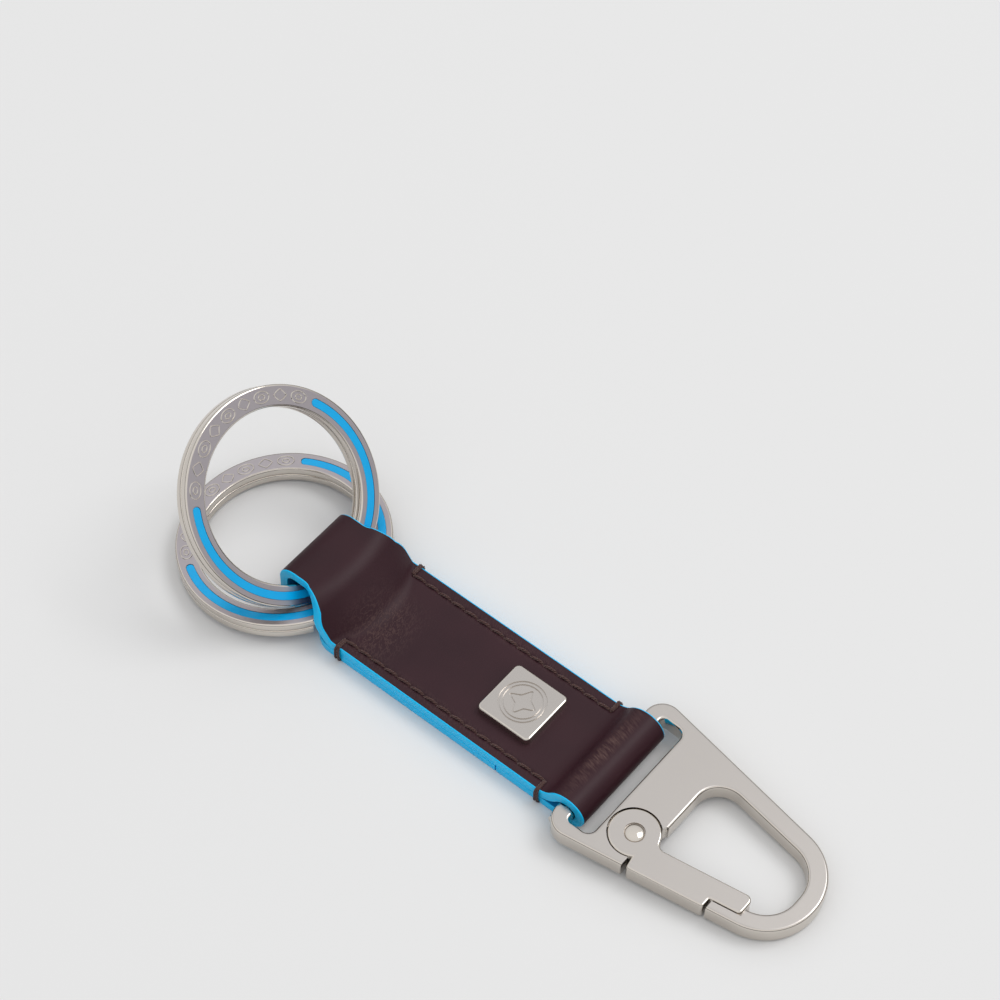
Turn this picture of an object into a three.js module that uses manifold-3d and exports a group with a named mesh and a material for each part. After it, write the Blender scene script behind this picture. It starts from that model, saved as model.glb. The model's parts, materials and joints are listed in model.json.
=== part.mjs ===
// Leather key fob: a folded strap that holds two split key rings at one end
// and a snap hook with a sprung gate at the other. Millimetres, +Z up, +X from the rings to the hook.
// The origin is the centre of the strap's underside.
import * as THREE from 'three';
import { mergeVertices } from 'three/addons/utils/BufferGeometryUtils.js';
import Module from 'manifold-3d';

const wasm = await Module();
wasm.setup();

const rad = THREE.MathUtils.degToRad;

// ---------------------------------------------------------------- driving dimensions

const strap = {
  width: 20, // full width along the sewn middle
  leather: 1.15, // thickness of the outer leather
  lining: 0.5, // thickness of the lining bonded inside it
  glueLine: 0.1, // between the two runs of the folded strip
  ringLoopEnd: -31.65, // inside of the loop that holds the rings
  ringLoopHeight: 8.05, // inside top of that loop, above the table
  ringLoopWidth: 14.2, // the strip is cut narrower here
  // where the runs part, and how the top run bends up from there: in the middle, and at the sewn edges
  middle: { crotch: -15, rise: rad(42), hollow: 6, shoulder: 3 },
  edge: { crotch: -19.1, rise: rad(52), hollow: 2.8, shoulder: 3.4 },
  edgeZone: 7.7, // half width of the middle stretch, between the sewn rows
  taperEnd: -20.6, // the strip narrows from here
  taperStart: -27.5, // to here
  buttJoint: 13.35, // where the strip's two ends meet underneath
  buttGap: 0.3,
  hookRise: 21.2, // where the top run starts to climb over the hook's bar
  hollowShare: 0.66, // of that climb's two bends, how much belongs to the hollow one
};
strap.run = strap.leather + strap.lining;
strap.top = 2 * strap.run + strap.glueLine;

const stitch = {
  inset: 1.9, // from the strap's edge to the row
  width: 0.6,
  height: 0.35,
  clear: 0.08,
  start: -18.7,
  end: 21.5,
};

const badge = {
  x: 10.5,
  side: 10.2,
  height: 1.35,
  chamfer: 0.35,
  cornerRadius: 0.9,
  prongWidth: 2.2,
  prongThick: 0.45,
  prongReach: 3.1, // from the badge's middle to a prong
  prongFold: 1.3, // length of the bent-over tip
  washerSide: 8.4,
  washerThick: 0.35,
  pocket: 9.4, // window in the lining for the washer
};

const ring = {
  outer: 35, // outside diameter
  band: 3.5, // width of the wire's flat face
  coil: 1.45, // thickness of the wire
  split: 0.12, // gap between the two turns
  chamfer: 0.3,
  crossover: rad(18), // half the angle over which the wire climbs to its second turn
  enamelWidth: 1.3,
  enamelDepth: 0.35,
  enamelHalfArc: rad(119.5),
  enamelClear: 0.06,
};
ring.radius = ring.outer / 2;
ring.middle = ring.radius - ring.band / 2;
ring.thick = 2 * ring.coil + ring.split;

// Each ring's place is the middle of its decorated face, with the tilt that lifts its far side.
// Its wire's lower end starts at an angle from the strap, and climbs towards one side (1 far, -1 near).
const lowerRing = { x: -38.9, z: 4.08, tilt: rad(-3.3), wireStart: rad(33), climbs: -1 };
const upperRing = { x: -37.75, z: 16.47, tilt: rad(46), wireStart: ring.crossover, climbs: 1 };

const hook = {
  thick: 3.3,
  bar: { x: 27.3, z: 3.2, radius: 1.4 }, // the bar in the strap's loop, which the hook swings on
  barClear: 0.15, // from the bar to the lining
  halfWidth: 14.9, // at the bar, where the outer edges would meet its line
  slotHalfWidth: 11.7,
  slotEnd: 5.7,
  tip: 38.75,
  edgeRadius: 0.45,
  pivot: { x: 10.45, y: -6.9 },
  headRadius: 4.1,
  seatClear: 0.3,
  ear: 0.85, // thickness of each of the gate's two plates
  gateStart: 12.95,
  gateEnd: 25.65,
  gateTip: 30.65,
};
// The hook's tip rests on the table, so the hook leans down from its bar.
hook.tilt = Math.asin((hook.bar.z - hook.thick / 2 - 0.02) / hook.tip);

// ---------------------------------------------------------------- materials

const finish = (color, roughness, metalness) => new THREE.MeshStandardMaterial({ color, roughness, metalness });
const leather = finish(0x3f2b2e, 0.45, 0);
const lining = finish(0x1f9fd8, 0.6, 0);
const thread = finish(0x4a3832, 0.7, 0);
const nickel = finish(0xc4bfba, 0.2, 1);
const satinNickel = finish(0xb2adb0, 0.35, 1);
const enamel = finish(0x12a3e0, 0.2, 0);
const springSteel = finish(0x8e8e92, 0.3, 1);

// ---------------------------------------------------------------- geometry helpers

// One closed body whose shared corners are merged and whose faces point out.
function weld(geometry) {
  geometry.deleteAttribute('normal');
  geometry.deleteAttribute('uv');
  const welded = mergeVertices(geometry, 1e-4);
  if (signedVolume(welded) < 0) {
    const index = welded.index.array;
    for (let i = 0; i < index.length; i += 3) {
      [index[i], index[i + 1]] = [index[i + 1], index[i]];
    }
  }
  return welded;
}

function signedVolume(geometry) {
  const { array } = geometry.attributes.position;
  const index = geometry.index.array;
  const corner = (i) => new THREE.Vector3().fromArray(array, 3 * index[i]);
  let volume = 0;
  for (let i = 0; i < index.length; i += 3) {
    volume += corner(i).dot(corner(i + 1).cross(corner(i + 2))) / 6;
  }
  return volume;
}

function solid(geometry) {
  const welded = weld(geometry);
  const vertProperties = new Float32Array(welded.attributes.position.array);
  const triVerts = new Uint32Array(welded.index.array);
  return new wasm.Manifold(new wasm.Mesh({ numProp: 3, vertProperties, triVerts }));
}

function geometryOf(manifold) {
  const mesh = manifold.getMesh();
  const geometry = new THREE.BufferGeometry();
  geometry.setAttribute('position', new THREE.BufferAttribute(mesh.vertProperties, 3));
  geometry.setIndex(new THREE.BufferAttribute(mesh.triVerts, 1));
  return geometry;
}

const join = (...geometries) => geometryOf(geometries.map(solid).reduce((whole, next) => whole.add(next)));
const keep = (geometry, within) => geometryOf(solid(geometry).intersect(solid(within)));
const cut = (geometry, ...tools) =>
  geometryOf(tools.map(solid).reduce((rest, tool) => rest.subtract(tool), solid(geometry)));

// A block between two opposite corners.
function block([x0, y0, z0], [x1, y1, z1]) {
  const box = new THREE.BoxGeometry(x1 - x0, y1 - y0, z1 - z0);
  return box.translate((x0 + x1) / 2, (y0 + y1) / 2, (z0 + z1) / 2);
}

// A shape drawn in plan, made solid from one height to another.
function slab(shape, low, high, curveSegments = 5) {
  const options = { depth: high - low, bevelEnabled: false, curveSegments };
  return new THREE.ExtrudeGeometry(shape, options).translate(0, 0, low);
}

// A slab whose edges are rounded off by a small bevel, within the shape's own outline.
function softSlab(shape, low, high, radius, curveSegments = 5) {
  const options = {
    depth: high - low - 2 * radius,
    bevelThickness: radius,
    bevelSize: radius,
    bevelOffset: -radius,
    bevelSegments: 2,
    curveSegments,
  };
  return new THREE.ExtrudeGeometry(shape, options).translate(0, 0, low + radius);
}

// An upright round bar.
function post(x, y, radius, low, high, sides = 32) {
  const bar = new THREE.CylinderGeometry(radius, radius, high - low, sides);
  return bar.rotateX(Math.PI / 2).translate(x, y, (low + high) / 2);
}

// A closed outline through corners [x, y, radius], each rounded by an arc of its radius.
function roundedOutline(corners) {
  const outline = new THREE.Shape();
  const points = corners.map(([x, y]) => new THREE.Vector2(x, y));
  points.forEach((corner, i) => {
    const radius = corners[i][2];
    const back = points.at(i - 1).clone().sub(corner).normalize();
    const onward = points[(i + 1) % points.length].clone().sub(corner).normalize();
    const half = Math.acos(back.dot(onward)) / 2;
    const enter = corner.clone().addScaledVector(back, radius / Math.tan(half));
    const leave = corner.clone().addScaledVector(onward, radius / Math.tan(half));
    const middle = back.clone().add(onward).normalize();
    const centre = corner.clone().addScaledVector(middle, radius / Math.sin(half));
    const clockwise = back.cross(onward) > 0;
    if (i === 0) {
      outline.moveTo(enter.x, enter.y);
    }
    const from = enter.sub(centre).angle();
    const to = leave.sub(centre).angle();
    outline.absarc(centre.x, centre.y, radius, from, to, clockwise);
  });
  return outline;
}

// The points of an open line, moved sideways to its left.
function beside(points, distance) {
  return points.map((point, i) => {
    const before = points[Math.max(i - 1, 0)];
    const after = points[Math.min(i + 1, points.length - 1)];
    const into = point.clone().sub(i > 0 ? before : point);
    const out = after.clone().sub(i < points.length - 1 ? point : before);
    const a = (i > 0 ? into : out).clone().normalize();
    const b = (i < points.length - 1 ? out : into).clone().normalize();
    const bisector = a.clone().add(b).normalize();
    const stretch = distance / bisector.dot(a);
    return new THREE.Vector2(point.x - bisector.y * stretch, point.y + bisector.x * stretch);
  });
}

// A side view drawn in X and Z, made solid between two places along Y.
function sideways(shape, y0, y1) {
  const options = { depth: y1 - y0, bevelEnabled: false, curveSegments: 6 };
  return new THREE.ExtrudeGeometry(shape, options).rotateX(Math.PI / 2).translate(0, y1, 0);
}

const root = new THREE.Group();

function add(parent, name, geometry, material) {
  const mesh = new THREE.Mesh(weld(geometry), material);
  mesh.name = name;
  parent.add(mesh);
  return mesh;
}

// ---------------------------------------------------------------- strap: leather strip and lining

// The inner face of the folded strip, seen from the side: from the butt joint along the bottom run,
// round the ring loop, along the top run, round the hook's bar and back to the butt joint.
function innerFace({ crotch, rise, hollow: crotchRadius, shoulder }) {
  const s = strap;
  const low = s.run;
  const high = s.run + s.glueLine;
  const face = new THREE.Path();
  const bottomRadius = 1.9;
  const topRadius = 1.7;
  face.moveTo(s.buttJoint - s.buttGap / 2, low);
  face.lineTo(s.ringLoopEnd + bottomRadius, low);
  // ring loop: bottom corner, end wall, top corner
  face.absarc(s.ringLoopEnd + bottomRadius, low + bottomRadius, bottomRadius, -Math.PI / 2, -Math.PI, true);
  const topY = s.ringLoopHeight - topRadius;
  face.absarc(s.ringLoopEnd + topRadius, topY, topRadius, Math.PI, Math.PI / 2, true);
  // down to the crotch: a rounded shoulder, a straight slope and the crotch's own arc
  const crotchTop = new THREE.Vector2(
    crotch - crotchRadius * Math.sin(rise),
    high + crotchRadius * (1 - Math.cos(rise)),
  );
  const slopeTop = s.ringLoopHeight - shoulder * (1 - Math.cos(rise));
  const slopeX = crotchTop.x - (slopeTop - crotchTop.y) / Math.tan(rise);
  const shoulderX = slopeX - shoulder * Math.sin(rise);
  face.absarc(shoulderX, s.ringLoopHeight - shoulder, shoulder, Math.PI / 2, Math.PI / 2 - rise, true);
  const turn = -Math.PI / 2;
  face.absarc(crotch, high + crotchRadius, crotchRadius, turn - rise, turn, false);
  // up over the hook's bar, round it and back
  const { x, z, radius } = hook.bar;
  const round = radius + hook.barClear;
  const climb = z + round - high;
  const across = x - s.hookRise;
  const bends = (climb * climb + across * across) / (2 * climb);
  const lean = Math.asin(across / bends);
  const hollow = bends * s.hollowShare;
  const crest = bends - hollow;
  face.absarc(s.hookRise, high + hollow, hollow, turn, turn + lean, false);
  face.absarc(x, z + round - crest, crest, Math.PI / 2 + lean, Math.PI / 2, true);
  face.absarc(x, z, round, Math.PI / 2, -Math.PI / 2, true);
  face.lineTo(s.buttJoint + s.buttGap / 2, z - round);
  return face.getPoints(4);
}

// One layer of the folded strip, between two distances from the inner face.
function stripLayer(profile, near, far, y0, y1) {
  const face = innerFace(profile);
  const outline = [...beside(face, near), ...beside(face, far).reverse()];
  return sideways(new THREE.Shape(outline), y0, y1);
}

// The strip's plan: full width in the middle and at the hook, narrower round the rings.
function stripPlan() {
  const { taperEnd, taperStart } = strap;
  const full = strap.width / 2;
  const narrow = strap.ringLoopWidth / 2;
  const bend = (taperEnd + taperStart) / 2;
  const plan = new THREE.Shape();
  plan.moveTo(-40, -narrow);
  plan.lineTo(taperStart, -narrow);
  plan.bezierCurveTo(bend, -narrow, bend, -full, taperEnd, -full);
  plan.lineTo(40, -full);
  plan.lineTo(40, full);
  plan.lineTo(taperEnd, full);
  plan.bezierCurveTo(bend, full, bend, narrow, taperStart, narrow);
  plan.lineTo(-40, narrow);
  return slab(plan, -1, 12, 8);
}

function strip(near, far) {
  const half = strap.width / 2;
  const edge = strap.edgeZone;
  const whole = join(
    stripLayer(strap.middle, near, far, -edge, edge),
    stripLayer(strap.edge, near, far, -half, -edge),
    stripLayer(strap.edge, near, far, edge, half),
  );
  return keep(whole, stripPlan());
}

// The slots in the leather that the badge's prongs go through.
const prongSlots = [-1, 1].map((side) => {
  const x = badge.x + side * badge.prongReach;
  const halfX = badge.prongThick / 2 + 0.1;
  const halfY = badge.prongWidth / 2 + 0.15;
  return block([x - halfX, -halfY, strap.run], [x + halfX, halfY, strap.top + 1]);
});

// The bobbin thread and the needle thread's turned-under ends lie in a shallow groove underneath.
const rowMiddle = strap.width / 2 - stitch.inset;
const stitchGrooves = [-1, 1].flatMap((side) => {
  const half = stitch.width / 2 + stitch.clear;
  const depth = stitch.height + 0.1;
  const row = block(
    [stitch.start - half, side * rowMiddle - half, -1],
    [stitch.end + half, side * rowMiddle + half, depth],
  );
  const ends = [stitch.start, stitch.end].map((x) => {
    const inner = side * (rowMiddle - half);
    const outer = side * (strap.width / 2 + 1);
    return block([x - half, Math.min(inner, outer), -1], [x + half, Math.max(inner, outer), depth]);
  });
  return [row, ...ends];
});

add(root, 'strap_leather', cut(strip(strap.lining, strap.run), ...prongSlots, ...stitchGrooves), leather);

const halfPocket = badge.pocket / 2;
const badgePocket = block(
  [badge.x - halfPocket, -halfPocket, strap.leather - 0.01],
  [badge.x + halfPocket, halfPocket, strap.top - strap.leather + 0.01],
);
// The pocket stops short of the leather: it is a window in the lining alone.
add(root, 'strap_lining', cut(strip(0, strap.lining), badgePocket), lining);

// ---------------------------------------------------------------- stitching: two lockstitched rows

// A needle thread lies along the top and turns over the strap's edge at both ends of its row.
function needleThread(side) {
  const { width, height, clear, start, end } = stitch;
  const half = width / 2;
  const top = strap.top + clear;
  const face = strap.width / 2 + clear;
  const span = (inner, outer) => [Math.min(side * inner, side * outer), Math.max(side * inner, side * outer)];
  const [rowLow, rowHigh] = span(rowMiddle - half, rowMiddle + half);
  const pieces = [block([start - half, rowLow, top], [end + half, rowHigh, top + height])];
  for (const x of [start, end]) {
    const [overLow, overHigh] = span(rowMiddle - half, face + height);
    const [wallLow, wallHigh] = span(face, face + height);
    pieces.push(block([x - half, overLow, top], [x + half, overHigh, top + height]));
    pieces.push(block([x - half, wallLow, 0.05], [x + half, wallHigh, top + height]));
    const [underLow, underHigh] = span(rowMiddle + half + clear, face + height);
    pieces.push(block([x - half, underLow, 0.05], [x + half, underHigh, 0.05 + height]));
  }
  return join(...pieces);
}

// A bobbin thread lies in the groove underneath.
function bobbinThread(side) {
  const half = stitch.width / 2;
  return block(
    [stitch.start - half, side * rowMiddle - half, 0.05],
    [stitch.end + half, side * rowMiddle + half, 0.05 + stitch.height],
  );
}

for (const [name, side] of [['near', -1], ['far', 1]]) {
  add(root, `needle_thread_${name}`, needleThread(side), thread);
  add(root, `bobbin_thread_${name}`, bobbinThread(side), thread);
}

// ---------------------------------------------------------------- badge and its washer

function squareOutline(x, side, radius) {
  const half = side / 2;
  return roundedOutline([
    [x - half, -half, radius],
    [x + half, -half, radius],
    [x + half, half, radius],
    [x - half, half, radius],
  ]);
}

const washerTop = strap.top - strap.leather - 0.05;
const washerLow = washerTop - badge.washerThick;
const foldTop = washerLow - 0.05;
const foldLow = foldTop - badge.prongThick;

// Two prongs go down through the leather and are folded inwards under the washer.
function badgePlate() {
  const low = strap.top;
  const outline = squareOutline(badge.x, badge.side, badge.cornerRadius);
  const plate = softSlab(outline, low - badge.chamfer, low + badge.height, badge.chamfer, 3);
  const body = keep(plate, block([badge.x - 9, -9, low], [badge.x + 9, 9, low + 3]));
  const prongs = [-1, 1].flatMap((side) => {
    const x = badge.x + side * badge.prongReach;
    const half = badge.prongThick / 2;
    const wide = badge.prongWidth / 2;
    const foldEnd = x - side * badge.prongFold;
    const foldRoot = x + side * half;
    const leg = block([x - half, -wide, foldLow], [x + half, wide, low + 0.5]);
    const fold = block(
      [Math.min(foldEnd, foldRoot), -wide, foldLow],
      [Math.max(foldEnd, foldRoot), wide, foldTop],
    );
    return [leg, fold];
  });
  return join(body, ...prongs);
}

function badgeWasher() {
  const slots = [-1, 1].map((side) => {
    const x = badge.x + side * badge.prongReach;
    const halfX = badge.prongThick / 2 + 0.1;
    const halfY = badge.prongWidth / 2 + 0.15;
    return block([x - halfX, -halfY, 0], [x + halfX, halfY, strap.top]);
  });
  return cut(slab(squareOutline(badge.x, badge.washerSide, 1), washerLow, washerTop, 3), ...slots);
}

add(root, 'badge_plate', badgePlate(), satinNickel);
add(root, 'badge_washer', badgeWasher(), nickel);

// ---------------------------------------------------------------- split rings

// A straight bar of the wire's section, bent round the ring: it starts low, climbs across the
// crossover and ends a full turn higher, so that its two turns lie flat on each other.
function splitWire({ wireStart, climbs }) {
  const { band, coil, split, chamfer, crossover, middle } = ring;
  const halfBand = band / 2;
  const section = new THREE.Shape();
  section.moveTo(-halfBand + chamfer, 0);
  section.lineTo(halfBand - chamfer, 0);
  section.lineTo(halfBand, chamfer);
  section.lineTo(halfBand, coil - chamfer);
  section.lineTo(halfBand - chamfer, coil);
  section.lineTo(-halfBand + chamfer, coil);
  section.lineTo(-halfBand, coil - chamfer);
  section.lineTo(-halfBand, chamfer);
  const last = 4 * Math.PI - crossover;
  const bar = new THREE.ExtrudeGeometry(section, { depth: 1, steps: 96, bevelEnabled: false });
  const place = bar.attributes.position;
  for (let i = 0; i < place.count; i += 1) {
    const angle = wireStart + (last - wireStart) * place.getZ(i);
    const past = (angle - (2 * Math.PI - crossover)) / (2 * crossover);
    const climbed = THREE.MathUtils.smoothstep(past, 0, 1);
    const reach = middle + place.getX(i);
    const height = place.getY(i) + climbed * (coil + split) - ring.thick;
    place.setXYZ(i, reach * Math.cos(angle), climbs * reach * Math.sin(angle), height);
  }
  return bar;
}

// A round-ended arc in plan, centred on the ring's +X side.
function arcOutline(halfArc, width) {
  const outer = ring.middle + width / 2;
  const inner = ring.middle - width / 2;
  const endX = ring.middle * Math.cos(halfArc);
  const endY = ring.middle * Math.sin(halfArc);
  const outline = new THREE.Shape();
  outline.absarc(0, 0, outer, -halfArc, halfArc, false);
  outline.absarc(endX, endY, width / 2, halfArc, halfArc + Math.PI, false);
  outline.absarc(0, 0, inner, halfArc, -halfArc, true);
  outline.absarc(endX, -endY, width / 2, -halfArc + Math.PI, -halfArc + 2 * Math.PI, false);
  return outline;
}

// Only the upper turn's face is hollowed for enamel, and the hollow stops at the crossover.
function enamelArc(clear, depth, top) {
  const halfWidth = ring.enamelWidth / 2 + clear;
  const whole = slab(arcOutline(ring.enamelHalfArc + clear / ring.middle, 2 * halfWidth), -depth, top, 18);
  const reach = ring.radius + 1;
  const gap = ring.crossover + rad(3) - clear / ring.middle;
  const wedge = new THREE.Shape();
  wedge.moveTo(0, 0);
  wedge.lineTo(reach * 1.2, -reach * 1.2 * Math.tan(gap));
  wedge.lineTo(reach * 1.2, reach * 1.2 * Math.tan(gap));
  return cut(whole, slab(wedge, -2, 2));
}

function splitRing(name, place) {
  const group = new THREE.Group();
  group.position.set(place.x, 0, place.z);
  group.rotation.y = place.tilt;
  root.add(group);
  const groove = enamelArc(ring.enamelClear, ring.enamelDepth + ring.enamelClear, 1);
  add(group, name, cut(splitWire(place), groove), satinNickel);
  const halves = solid(enamelArc(0, ring.enamelDepth, 0)).decompose();
  halves.forEach((half) => {
    const bounds = half.boundingBox();
    const side = bounds.min[1] + bounds.max[1] > 0 ? 'far' : 'near';
    add(group, `${name}_enamel_${side}`, geometryOf(half), enamel);
  });
}

splitRing('lower_ring', lowerRing);
splitRing('upper_ring', upperRing);

// ---------------------------------------------------------------- snap hook

const hookGroup = new THREE.Group();
hookGroup.position.set(hook.bar.x, 0, hook.bar.z);
hookGroup.rotation.y = hook.tilt;
root.add(hookGroup);

const halfThick = hook.thick / 2;
const { x: pivotX, y: pivotY } = hook.pivot;

// The hook's outer edges are straight lines from the bar to the nose.
const nearEdge = { x: -hook.bar.radius, y: -hook.halfWidth, slope: 0.177 };
const nearEdgeAt = (x) => nearEdge.y + (x - nearEdge.x) * nearEdge.slope;

function hookOutline() {
  return roundedOutline([
    [nearEdge.x, nearEdge.y, 3.2],
    [hook.tip, nearEdgeAt(hook.tip), 9.4],
    [hook.tip, 8.6, 9.4],
    [nearEdge.x, hook.halfWidth, 3.2],
  ]);
}

function slotOutline() {
  const { slotHalfWidth, slotEnd } = hook;
  return roundedOutline([
    [hook.bar.radius, -slotHalfWidth, 0.8],
    [slotEnd, -slotHalfWidth, 1.5],
    [slotEnd, slotHalfWidth, 1.5],
    [hook.bar.radius, slotHalfWidth, 0.8],
  ]);
}

const eyeLeft = 13.95;
const eyeRight = 35.55;
const armWidth = 3.05;

function eyeOutline() {
  return roundedOutline([
    [eyeLeft, nearEdgeAt(eyeLeft) + armWidth, 0.5],
    [eyeRight, nearEdgeAt(eyeRight) + armWidth, 5.6],
    [eyeRight, 5.9, 6],
    [eyeLeft, 9.1, 4.2],
  ]);
}

// The gate fills this stretch of the near side, so the body is open there.
function mouthOutline() {
  const left = hook.gateStart - 0.7;
  return roundedOutline([
    [left, -16, 0.2],
    [hook.gateEnd + 0.5, -16, 0.2],
    [hook.gateEnd + 0.5, -3, 0.2],
    [eyeLeft - 0.4, -3, 0.2],
    [left, pivotY, 0.2],
  ]);
}

const gateLow = -halfThick + hook.ear;
const gateHigh = halfThick - hook.ear;
const tabLow = gateLow + 0.12;
const tabHigh = gateHigh - 0.12;
const coilSeat = { radius: 2.75, floor: tabLow + 0.3 };

// The body is cast in one piece: bar, two arms, web, far arm and nose. Its tab for the gate's pivot is
// thinner than the plate, and so is the inner half of the nose that the gate's tips lie on.
function hookBody() {
  const plate = softSlab(hookOutline(), -halfThick, halfThick, hook.edgeRadius, 7);
  const slot = slab(slotOutline(), -halfThick - 1, halfThick + 1, 3);
  const eye = slab(eyeOutline(), -halfThick - 1, halfThick + 1, 6);
  const mouth = slab(mouthOutline(), -halfThick - 1, halfThick + 1, 1);
  const seat = hook.headRadius + hook.seatClear;
  const noseStep = slab(noseStepOutline(), -halfThick - 1, halfThick + 1, 1);
  const tongue = slab(noseStepOutline(), tabLow, tabHigh, 1);
  const tab = join(
    post(pivotX, pivotY, 3, tabLow, tabHigh, 36),
    block([pivotX - 5, pivotY - 1.5, tabLow], [pivotX, pivotY + 1.5, tabHigh]),
    block([pivotX - 2.4, pivotY, tabLow], [pivotX + 1.8, pivotY + 5, tabHigh]),
  );
  const open = cut(plate, slot, eye, mouth, post(pivotX, pivotY, seat, -halfThick - 1, halfThick + 1, 48));
  const nose = join(cut(open, noseStep), keep(tongue, cut(plate, eye)));
  const bar = new THREE.CylinderGeometry(hook.bar.radius, hook.bar.radius, 2 * hook.slotHalfWidth + 2, 24);
  const body = join(cut(nose, barRelief()), tab, bar);
  return cut(
    body,
    post(pivotX, pivotY, rivet.shank + 0.06, -3, 3, 24),
    post(pivotX, pivotY, coilSeat.radius, coilSeat.floor, 3, 36),
    ...springNotches(),
  );
}

// The bar is round where the strap wraps it, so the plate is cleared away there first.
function barRelief() {
  const reach = hook.slotHalfWidth - 0.4;
  return block([-hook.bar.radius - 1, -reach, -halfThick - 1], [hook.bar.radius + 0.1, reach, halfThick + 1]);
}

function noseStepOutline() {
  const from = hook.gateEnd + 0.3;
  const to = hook.gateTip + 0.3;
  const outer = 1.55;
  const beyond = armWidth + 2;
  return roundedOutline([
    [from, nearEdgeAt(from) + outer, 0.1],
    [to, nearEdgeAt(to) + outer, 0.3],
    [to, nearEdgeAt(to) + beyond, 0.1],
    [from, nearEdgeAt(from) + beyond, 0.1],
  ]);
}

// The gate is a channel: an outer wall with a plate above and below, closed at the pivot by the tab.
function gateArmOutline() {
  const { gateStart, gateEnd, gateTip } = hook;
  const wide = 5.3;
  const earInset = 1.75;
  return roundedOutline([
    [gateStart, nearEdgeAt(gateStart), 0.5],
    [gateEnd, nearEdgeAt(gateEnd), 0.5],
    [gateEnd, nearEdgeAt(gateEnd) + earInset, 0.3],
    [gateTip, nearEdgeAt(gateTip) + earInset, 0.6],
    [gateTip, nearEdgeAt(gateTip) + wide, 1.0],
    [eyeLeft + 1.2, nearEdgeAt(eyeLeft + 1.2) + wide, 3.0],
    [eyeLeft - 0.9, pivotY + 2.4, 0.6],
    [pivotX + 1, pivotY, 0.6],
  ]);
}

function hookGate() {
  const whole = join(
    softSlab(gateArmOutline(), -halfThick, halfThick, 0.3, 3),
    softSlab(discOutline(pivotX, pivotY, hook.headRadius), -halfThick, halfThick, 0.3, 12),
  );
  const wall = 1.2;
  const channel = roundedOutline([
    [pivotX - 6, pivotY - 6, 0.2],
    [hook.gateStart - 0.4, pivotY - 6, 0.2],
    [hook.gateStart + 0.6, nearEdgeAt(hook.gateStart + 0.6) + wall, 0.6],
    [hook.gateTip + 2, nearEdgeAt(hook.gateTip + 2) + wall, 0.1],
    [hook.gateTip + 2, 2, 0.2],
    [pivotX - 6, 2, 0.2],
  ]);
  return cut(
    whole,
    slab(channel, gateLow, gateHigh, 2),
    post(pivotX, pivotY, rivet.shank + 0.06, -3, 3, 24),
    post(pivotX, pivotY, rivet.head + 0.12, halfThick - 0.3, 3, 32),
    post(pivotX, pivotY, rivet.head + 0.12, -3, -halfThick + 0.3, 32),
  );
}

function discOutline(x, y, radius) {
  const disc = new THREE.Shape();
  disc.absarc(x, y, radius, 0, 2 * Math.PI, false);
  return disc;
}

// ---------------------------------------------------------------- rivet and torsion spring

const rivet = { shank: 1.05, head: 1.55, dome: 0.5 };

// The rivet's two domed heads sit in shallow counterbores in the gate's plates.
function gateRivet() {
  const seatTop = halfThick - 0.25;
  const profile = new THREE.Path();
  profile.moveTo(0, -seatTop - rivet.dome);
  profile.quadraticCurveTo(rivet.head * 0.9, -seatTop - rivet.dome, rivet.head, -seatTop);
  profile.lineTo(rivet.shank, -seatTop);
  profile.lineTo(rivet.shank, seatTop);
  profile.lineTo(rivet.head, seatTop);
  profile.quadraticCurveTo(rivet.head * 0.9, seatTop + rivet.dome, 0, seatTop + rivet.dome);
  return new THREE.LatheGeometry(profile.getPoints(5), 24).rotateX(Math.PI / 2).translate(pivotX, pivotY, 0);
}

const wire = { radius: 0.14, coil: 1.75, turns: 2, pitch: 0.34 };

// The torsion spring lies round the rivet: one leg holds in the body, the other pushes the gate shut.
class SpringLine extends THREE.Curve {
  getPoint(t, target = new THREE.Vector3()) {
    const legs = 0.2;
    const low = coilSeat.floor + wire.radius + 0.06;
    const turned = THREE.MathUtils.clamp((t - legs) / (1 - 2 * legs), 0, 1);
    const start = rad(90);
    const angle = start - 2 * Math.PI * wire.turns * turned;
    target.set(Math.cos(angle), Math.sin(angle), 0).multiplyScalar(wire.coil);
    target.z = low + wire.pitch * wire.turns * turned;
    const bodyLeg = Math.max(legs - t, 0) / legs;
    const gateLeg = Math.max(t - 1 + legs, 0) / legs;
    target.x += pivotX + 6.6 * gateLeg - 3.4 * bodyLeg;
    target.y += pivotY - 4.7 * gateLeg;
    return target;
  }
}

// The tab is cut down beside the coil, so that both legs can leave it.
const springNotches = () => [
  block([pivotX - 3.9, pivotY + 1.3, coilSeat.floor], [pivotX, pivotY + 2.2, 3]),
  block([pivotX, pivotY - 4, coilSeat.floor], [pivotX + 4, pivotY + 2.6, 3]),
];

function gateSpring() {
  const section = new THREE.Shape();
  section.absarc(0, 0, wire.radius, 0, 2 * Math.PI, false);
  const options = { steps: 70, curveSegments: 3, bevelEnabled: false, extrudePath: new SpringLine() };
  return new THREE.ExtrudeGeometry(section, options);
}

add(hookGroup, 'hook_body', hookBody(), nickel);
add(hookGroup, 'hook_gate', hookGate(), nickel);
add(hookGroup, 'gate_rivet', gateRivet(), nickel);
add(hookGroup, 'gate_spring', gateSpring(), springSteel);

export default root;
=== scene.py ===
# %% [markdown]
# # A leather key fob
# A folded leather strap holds two split rings at one end and a die-cast snap hook at the other.
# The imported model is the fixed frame: it says where each piece is and what moves. This script makes
# the fine surface of every piece in that frame, and then its finish.

# %% Load the frame
import json
import math

import bmesh
import bpy
import numpy as np
from mathutils import Matrix, Vector


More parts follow.
